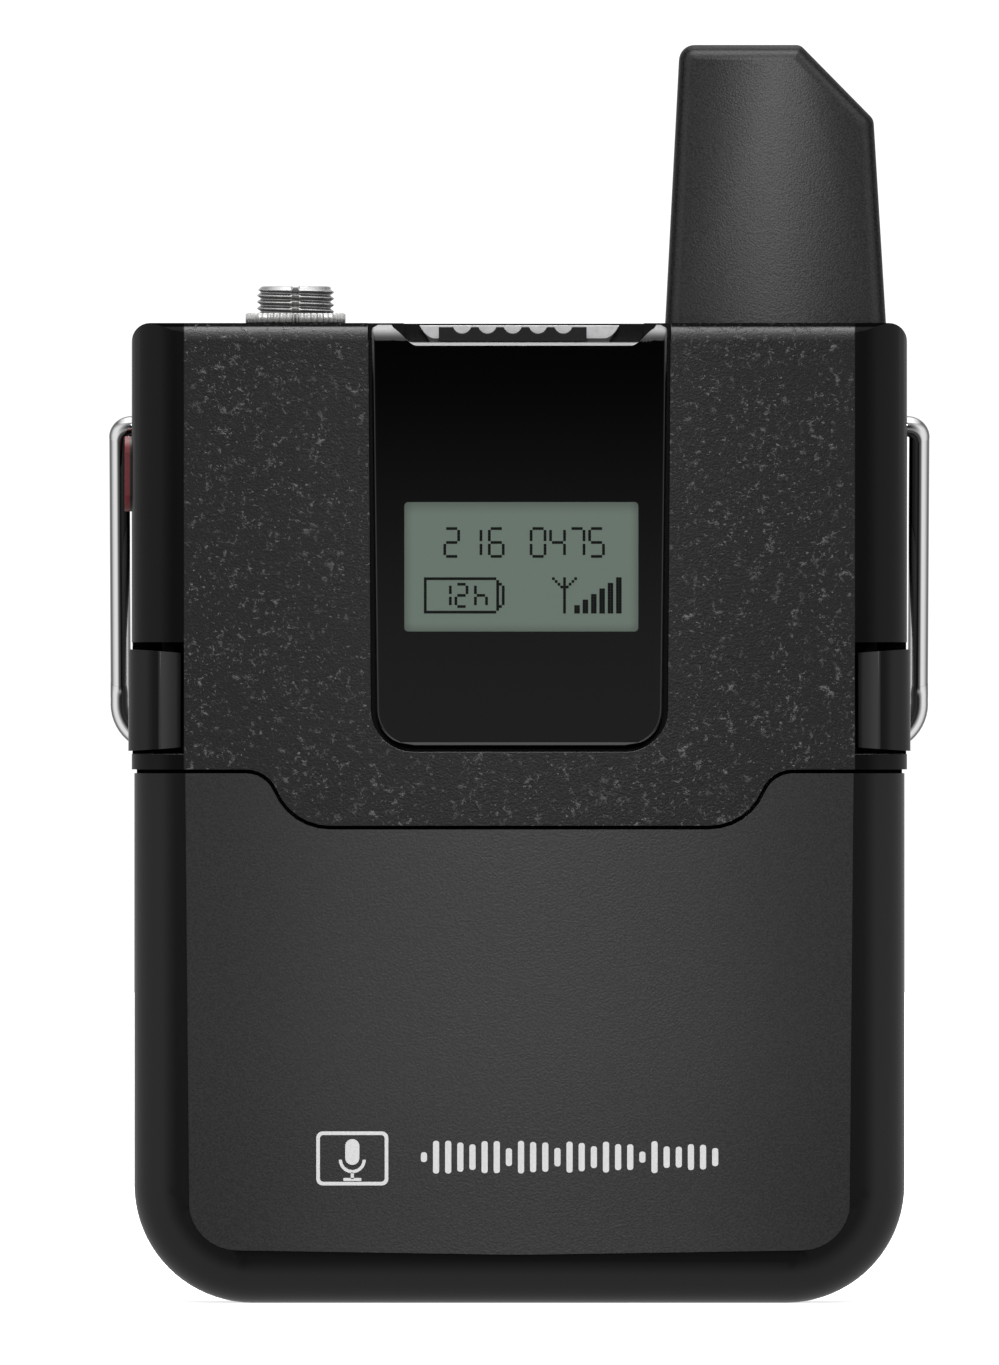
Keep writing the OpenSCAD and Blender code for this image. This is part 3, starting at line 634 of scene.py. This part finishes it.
# ---------------------------------------------------------------- display window
def window():
    """Gloss window that turns over the top edge, with a dip for the mute slide."""
    half_top, half_base, foot_z, top_z = window_hi.x, 11.1, window_lo.z, window_hi.z
    foot_r, top_r = 2.7, 0.5
    dip_mid, dip_half, dip_end, dip_deep = 0.35, 8.3, 2.0, 1.4
    turn_over, soft, top_soft, back_y = 1.15, 0.25, 0.18, -6.0

    def top_at(x):
        """Height of the top edge, lower where the mute slide sits."""
        t = min(1, max(0, (abs(x - dip_mid) - dip_half) / dip_end))
        return top_z - dip_deep * (1 - t * t * (3 - 2 * t))

    def half_at(z):
        w = half_base + (half_top - half_base) * (z - foot_z) / (top_z - foot_z)
        for r, deep in ((foot_r, foot_z + foot_r - z), (top_r, z - (top_z - top_r))):
            if deep > 0:
                w += -r + math.sqrt(max(0, r * r - deep * deep))
        return w

    def drop_at(x, z, top):
        """How far the face steps back, where it turns over the top and at its soft edges."""
        drop = 0.0
        if z > top_z - turn_over:
            q = (z - (top_z - turn_over)) / turn_over
            drop = turn_over * 0.9 * (1 - math.sqrt(max(0, 1 - q * q)))
        edge_gap = min(half_at(z) - abs(x), (z - foot_z) if z < foot_z + 1 else 9)
        for gap, size in ((edge_gap, soft), (top - z, top_soft)):
            if gap < size:
                drop += size * (1 - math.sqrt(max(0, 1 - (1 - gap / size) ** 2)))
        return drop

    # Columns and rows close up towards the edges, where the face curves
    columns = sorted({s * u for s in (1, -1) for u in
                      [k / 12 * 0.66 for k in range(13)] + [0.66 + 0.3 * k / 14 for k in range(15)]
                      + [1 - 0.035 * k / 5 for k in range(6)]})
    rows = [0.04 * k / 6 for k in range(7)] + [0.04 + 0.11 * k / 8 for k in range(1, 9)] \
        + [0.15 + 0.75 * k / 10 for k in range(1, 11)] + [0.9 + 0.1 * k / 14 for k in range(1, 15)]
    verts = []
    for t in rows:
        for u in columns:
            top = top_at(u * half_at(foot_z + t * (top_z - foot_z)))
            z = foot_z + t * (top - foot_z)
            x = u * half_at(z)
            verts.append((x, window_lo.y + drop_at(x, z, top), z))

    n, m = len(columns), len(rows)
    faces = [(r * n + c, r * n + c + 1, (r + 1) * n + c + 1, (r + 1) * n + c)
             for r in range(m - 1) for c in range(n - 1)]
    rim = list(range(n)) + [r * n + n - 1 for r in range(1, m)] \
        + [(m - 1) * n + c for c in range(n - 2, -1, -1)] + [r * n for r in range(m - 2, 0, -1)]
    k = len(verts)
    for i in rim:
        x, y, z = verts[i]
        back = back_y if z > top_z - 1.6 else window_lo.y + 1.2
        verts.append((x, max(back, y + 0.3), z))
    for i in range(len(rim)):
        j = (i + 1) % len(rim)
        faces.append((rim[i], rim[j], k + j, k + i))
    faces.append(tuple(range(k, k + len(rim)))[::-1])
    return verts, faces


piece("window_shell", window(), "transmitter", "window", ("display_window",), sharp=35)

# ---------------------------------------------------------------- readout
dots_across = 84
dot = lcd_w / dots_across
proud = 0.012
face_y = window_lo.y - proud

STROKES = {"0": "abcdef", "1": "bc", "2": "abged", "4": "fgbc", "5": "afgcd", "6": "afgedc", "7": "abc",
           "h": "fegc"}


def digit(ch, col, row, w, h):
    """Dots of one stroke digit whose top left dot is at col, row."""
    right, low, middle = col + w - 1, row + h - 1, row + h // 2
    inner = range(col + 1, right)
    line = {
        "a": [(c, row) for c in inner],
        "g": [(c, middle) for c in inner],
        "d": [(c, low) for c in inner],
        "f": [(col, r) for r in range(row + 1, middle)],
        "e": [(col, r) for r in range(middle + 1, low)],
        "b": [(right, r) for r in range(row + 1, middle)],
        "c": [(right, r) for r in range(middle + 1, low)],
    }
    return {p for s in STROKES[ch] for p in line[s]}


def number(text, places, row, w, h):
    return {p for ch, col in zip(text, places) for p in digit(ch, col, row, w, h)}


def battery_sign(left, right, top, low):
    """Outline of a battery with its pole at the right."""
    lines = {(c, r) for c in range(left, right) for r in (top, low)}
    lines |= {(c, r) for c in (left, right) for r in range(top + 1, low)}
    pole = {(right + 1, top + 2), (right + 1, low - 2)} | {(right + 2, r) for r in range(top + 3, low - 2)}
    return lines | pole


def signal_sign(mast, top, low, bars=6):
    """Mast with two arms, and rising bars beside it."""
    sign = {(mast, r) for r in range(top, low + 1)}
    sign |= {(mast + s * k, top + 4 - k) for s in (1, -1) for k in range(1, 5)}
    for k in range(bars):
        sign |= {(mast + 4 + 3 * k + i, r) for i in (0, 1) for r in range(low - 2 - 2 * k, low + 1)}
    return sign


def dot_mesh(dots):
    parts = []
    s = dot * 0.49
    for c, r in sorted(dots):
        x, z = lcd_lo[0] + (c + 0.5) * dot, lcd_hi[1] - (r + 0.5) * dot
        square = [(x - s, z - s), (x + s, z - s), (x + s, z + s), (x - s, z + s)]
        parts.append(loft([at_depth(square, face_y), at_depth(square, face_y - 0.01)], close_start=False))
    return join(parts)


lcd_outline = ring(frame_corners(*lcd_lo, *lcd_hi, 0.3))
piece("lcd_face", loft([at_depth(lcd_outline, window_lo.y + 0.1), at_depth(lcd_outline, face_y)]),
      "transmitter", "lcd_face")
readout = (number("2160475", (14, 22, 30, 45, 52, 59, 66), 9, 6, 11) | number("12h", (12, 18, 25), 29, 5, 9)
           | battery_sign(7, 33, 27, 39) | signal_sign(57, 27, 39))
piece("lcd_dots", dot_mesh(readout), "transmitter", "dots", sharp=30)


# ---------------------------------------------------------------- microphone socket
def around(profile_at, turns=192):
    """Revolved grid about the socket's axis. profile_at(angle) gives (radius, z) pairs."""
    rings = []
    for k in range(turns):
        a = 2 * math.pi * k / turns
        rings.append([(jack_x + r * math.cos(a), jack_y + r * math.sin(a), z) for r, z in profile_at(a)])
    m = len(rings[0])
    verts = [p for r in rings for p in r]
    faces = []
    for k in range(turns):
        n = (k + 1) % turns
        for i in range(m - 1):
            faces.append((k * m + i, n * m + i, n * m + i + 1, k * m + i + 1))
    return verts, faces


def thread_profile(a):
    """Screw thread with a chamfered top and a keyway cut into its rim at the front."""
    pitch, outer, deep, bore, top = 0.5, 3.0, 0.27, 1.8, collar_hi.z
    key_angle, key_deep, key_r = 0.1, 0.25, outer - 0.15
    pts = []
    z = nut_hi.z - 0.1
    while z < top - 0.02:
        phase = (z / pitch + a / (2 * math.pi)) % 1.0
        ridge = abs(2 * phase - 1)
        r = outer - deep * min(1, max(0, (ridge - 0.12) / 0.76))
        pts.append((min(r, outer - 0.35 + (top - z)), z))
        z += pitch / 14
    if abs(a - 1.5 * math.pi) < key_angle:
        top -= key_deep
        pts = [(min(r, key_r), min(z, top)) for r, z in pts]
        lip = outer - 0.4
    else:
        lip = min(pts[-1][0], outer - 0.38)
    return pts + [(lip, top), (bore + 0.05, top), (bore, top - 0.08), (bore, collar_hi.z - 6)]


def nut_profile(a):
    """Ring nut with fine grooves round its edge."""
    grooves, deep, inner = 44, 0.2, 2.9
    w = abs((a * grooves / (2 * math.pi)) % 1.0 - 0.5) * 2
    r = nut_hi.x - jack_x - deep * (1 - min(1, w / 0.75)) ** 0.8
    lo, hi = nut_lo.z, nut_hi.z
    return [(3.0, lo), (r - 0.08, lo), (r, lo + 0.08), (r, hi - 0.14), (r - 0.07, hi - 0.05),
            (r - 0.2, hi), (inner, hi), (inner, hi - 0.2)]


piece("jack_thread", around(thread_profile), "transmitter", "plated", ("jack_collar",), sharp=60)
piece("jack_nut", around(nut_profile, 480), "transmitter", "plated", ("jack_ring_nut",), sharp=60)


# ---------------------------------------------------------------- latch springs
def leaf(side):
    """Curved leaf behind a latch."""
    lo, hi, thick, steps = spring_lo, spring_hi, 0.22, 14
    rings = []
    for k in range(steps + 1):
        u = k / steps
        t = max(0, (u - 0.3) / 0.7)
        x = lo.x + (hi.x - lo.x - thick) * t * t * (3 - 2 * t)
        y = hi.y + (lo.y - hi.y) * u
        rings.append([(side * x, y, lo.z), (side * (x + thick), y, lo.z),
                      (side * (x + thick), y, hi.z), (side * x, y, hi.z)])
    return loft(rings)


for side, word in ((-1, "left"), (1, "right")):
    node = f"latch_spring_{word}"
    spring = piece(f"latch_leaf_{word}", leaf(side), "transmitter", "steel", (node,), sharp=30)
    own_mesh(spring)


# ---------------------------------------------------------------- dark pieces behind the joins
def seal(half, open_z, closed_z, r, thick=0.3, steps=12):
    """U-shaped band across the join between a front and a rear shell."""
    y0, y1 = rear_lo.y - 0.35, rear_lo.y + 0.3
    up = 1 if closed_z > open_z else -1

    def path(inset):
        reach = r - inset
        side = [(-half + inset, open_z)]
        for k in range(steps + 1):
            a = math.pi / 2 * k / steps
            side.append((r - half - reach * math.cos(a), closed_z - up * (r - reach * math.sin(a))))
        return side + [(-x, z) for x, z in reversed(side)]

    return loft([[(ox, y0, oz), (ox, y1, oz), (ix, y1, iz), (ix, y0, iz)]
                 for (ox, oz), (ix, iz) in zip(path(0.0), path(thick))])


def gasket():
    """Thin rim on the battery pack that fills the open seam just inside the outline."""
    half, y0, y1 = pack_hi.x - 0.4, -5.95, pack_hi.y - 0.45
    low, high = pack_hi.z - 0.2, pack_hi.z + 0.26
    corners = [(-half, y0, 4.0), (half, y0, 4.0), (half, y1, 3.0), (-half, y1, 3.0)]
    outer, inner = ring(corners), ring(corners, 0.9)
    return loft([[(p.x, p.y, z) for p in line]
                 for line, z in ((outer, low), (outer, high), (inner, high), (inner, low), (outer, low))],
                close_start=False, close_end=False)


def latch_well(side):
    """Inner wall of a latch's pocket."""
    x, thick = latch_lo.x - 1.1, 0.2
    wall = ring(frame_corners(-6.6, latch_lo.z, 2.2, latch_hi.z + 1.0, 0.3))
    return loft([[(side * at, p.x, p.y) for p in wall] for at in (x, x - thick)])


in_wall = 0.8
piece("upper_seal", seal(rear_hi.x - in_wall, pack_hi.z + 0.7, case_top - in_wall, 1.2),
      "transmitter", "satin")
piece("pack_seal", seal(pack_hi.x - in_wall, pack_hi.z - 0.3, pack_lo.z + in_wall, 8.4),
      "battery_pack", "satin")
piece("seam_gasket", gasket(), "battery_pack", "pin")
for side, word in ((-1, "left"), (1, "right")):
    piece(f"latch_well_{word}", latch_well(side), "transmitter", "satin")


# ---------------------------------------------------------------- generic mark
def mark():
    """A microphone sign in a rounded frame beside a row of level bars."""
    back, face = front + 0.008, front - proud
    left, low, wide, tall, line = -15.8, 9.2, 5.6, 4.2, 0.28
    right, high = left + wide, low + tall
    mid_x, mid_z = left + wide / 2, low + tall / 2
    parts = []

    def plate(outline):
        parts.append(loft([at_depth(outline, back), at_depth(outline, face)]))

    outer = ring(frame_corners(left, low, right, high, 0.5))
    inner = ring(frame_corners(left + line, low + line, right - line, high - line, line))
    frame_rings = [at_depth(outer, back), at_depth(outer, face), at_depth(inner, face), at_depth(inner, back)]
    parts.append(loft(frame_rings, close_start=False, close_end=False))

    capsule = (mid_x - 0.55, mid_z - 0.5, mid_x + 0.55, mid_z + 1.5, 0.54)
    stem = (mid_x - 0.12, mid_z - 1.6, mid_x + 0.12, mid_z - 1.1, 0.02)
    foot = (mid_x - 0.7, mid_z - 1.75, mid_x + 0.7, mid_z - 1.52, 0.05)
    arc = [(math.cos(a), math.sin(a)) for a in (math.pi + math.pi * k / 16 for k in range(17))]
    cradle = [[(mid_x + r * c, mid_z - 0.1 + r * s) for c, s in arc] for r in (1.05, 0.8)]
    plate(ring(frame_corners(*capsule)))
    plate(cradle[0] + cradle[1][::-1])
    plate(ring(frame_corners(*stem)))
    plate(ring(frame_corners(*foot)))

    count, first, last, bar_half, bars_z = 25, -7.9, 15.7, 0.24, mid_z + 0.1
    pitch = (last - first) / count
    for k in range(count):
        reach = 0.85 * (0.45 + 1.05 * abs(math.sin(0.9 * k + 0.6 * math.sin(1.7 * k))))
        x = first + (k + 0.5) * pitch
        plate(ring(frame_corners(x - bar_half, bars_z - reach, x + bar_half, bars_z + reach, 0.2)))
    return join(parts)


piece("front_mark", mark(), "battery_pack", "mark", sharp=30)


# ---------------------------------------------------------------- studio
def area(name, place, target, size, power):
    light = bpy.data.lights.new(name, "AREA")
    light.shape = "RECTANGLE"
    light.size, light.size_y = size
    light.energy = power
    o = bpy.data.objects.new(name, light)
    bpy.context.scene.collection.objects.link(o)
    o.location = place
    o.rotation_mode = "QUATERNION"
    o.rotation_quaternion = (Vector(target) - Vector(place)).to_track_quat("-Z", "Y")


def studio_world():
    """Reflections brighten from the camera's side round to the back and upwards.

    The background itself is white, and the light on the surfaces is even.
    """
    seen_white, even_light = 1.1, 0.6
    world = bpy.data.worlds.new("studio")
    bpy.context.scene.world = world
    world.use_nodes = True
    tree = world.node_tree
    direction = tree.nodes.new("ShaderNodeSeparateXYZ")
    tree.links.new(tree.nodes.new("ShaderNodeTexCoord").outputs["Generated"], direction.inputs[0])

    def span(axis, lo, hi, a, b, easing):
        n = tree.nodes.new("ShaderNodeMapRange")
        n.interpolation_type = easing
        for key, v in (("From Min", lo), ("From Max", hi), ("To Min", a), ("To Max", b)):
            n.inputs[key].default_value = v
        tree.links.new(direction.outputs[axis], n.inputs["Value"])
        return n.outputs["Result"]

    def choose(ray, otherwise, value):
        n = tree.nodes.new("ShaderNodeMix")
        tree.links.new(rays.outputs[ray], n.inputs[0])
        tree.links.new(otherwise, n.inputs[2])
        n.inputs[3].default_value = value
        return n.outputs[0]

    rays = tree.nodes.new("ShaderNodeLightPath")
    total = tree.nodes.new("ShaderNodeMath")
    tree.links.new(span(1, -0.985, -0.62, 0.02, 0.9, "LINEAR"), total.inputs[0])
    tree.links.new(span(2, 0.58, 0.96, 0.0, 6.5, "SMOOTHSTEP"), total.inputs[1])
    shown = choose("Is Camera Ray", total.outputs[0], seen_white)
    shown = choose("Is Diffuse Ray", shown, even_light)
    tree.links.new(shown, tree.nodes["Background"].inputs["Color"])


def paper_floor():
    """Pale floor that goes down with the battery pack and stays out of the reflections."""
    mesh = bpy.data.meshes.new("floor")
    mesh.from_pydata([(-3, -2.5, 0), (3, -2.5, 0), (3, 3, 0), (-3, 3, 0)], [], [(0, 1, 2, 3)])
    n = Nodes("floor_paper")
    n.out.inputs["Emission Color"].default_value = (1, 1, 1, 1)
    n.out.inputs["Emission Strength"].default_value = 0.75
    mesh.materials.append(n.done(n.mix(n.ramp(n.noise(40, 2), 0.3, 0.7), grey(0.84), grey(0.88)), 0.9))
    floor = bpy.data.objects.new("floor", mesh)
    bpy.context.scene.collection.objects.link(floor)
    floor.parent = frame["bodies"]["battery_pack"]
    floor.visible_glossy = False
    floor.visible_diffuse = False


def front_camera():
    """Long lens straight at the front."""
    reach, half_height, sensor = 3.0, 0.053235, 36
    cam = bpy.data.objects.new("camera", bpy.data.cameras.new("camera"))
    bpy.context.scene.collection.objects.link(cam)
    cam.location = (-0.00155, -reach, 0.04832)
    cam.rotation_euler = (math.pi / 2, 0, 0)
    cam.data.sensor_width = sensor
    cam.data.lens = sensor / 2 * reach / half_height
    cam.data.clip_end = 20
    bpy.context.scene.camera = cam


middle = (0, 0, 0.048)
area("key", (0, -1.2, 0.45), middle, (0.26, 0.24), 4.0)
area("top", (0, -0.02, 0.8), middle, (0.7, 0.4), 2.5)
studio_world()
paper_floor()
front_camera()
bpy.context.scene.view_settings.view_transform = "Standard"
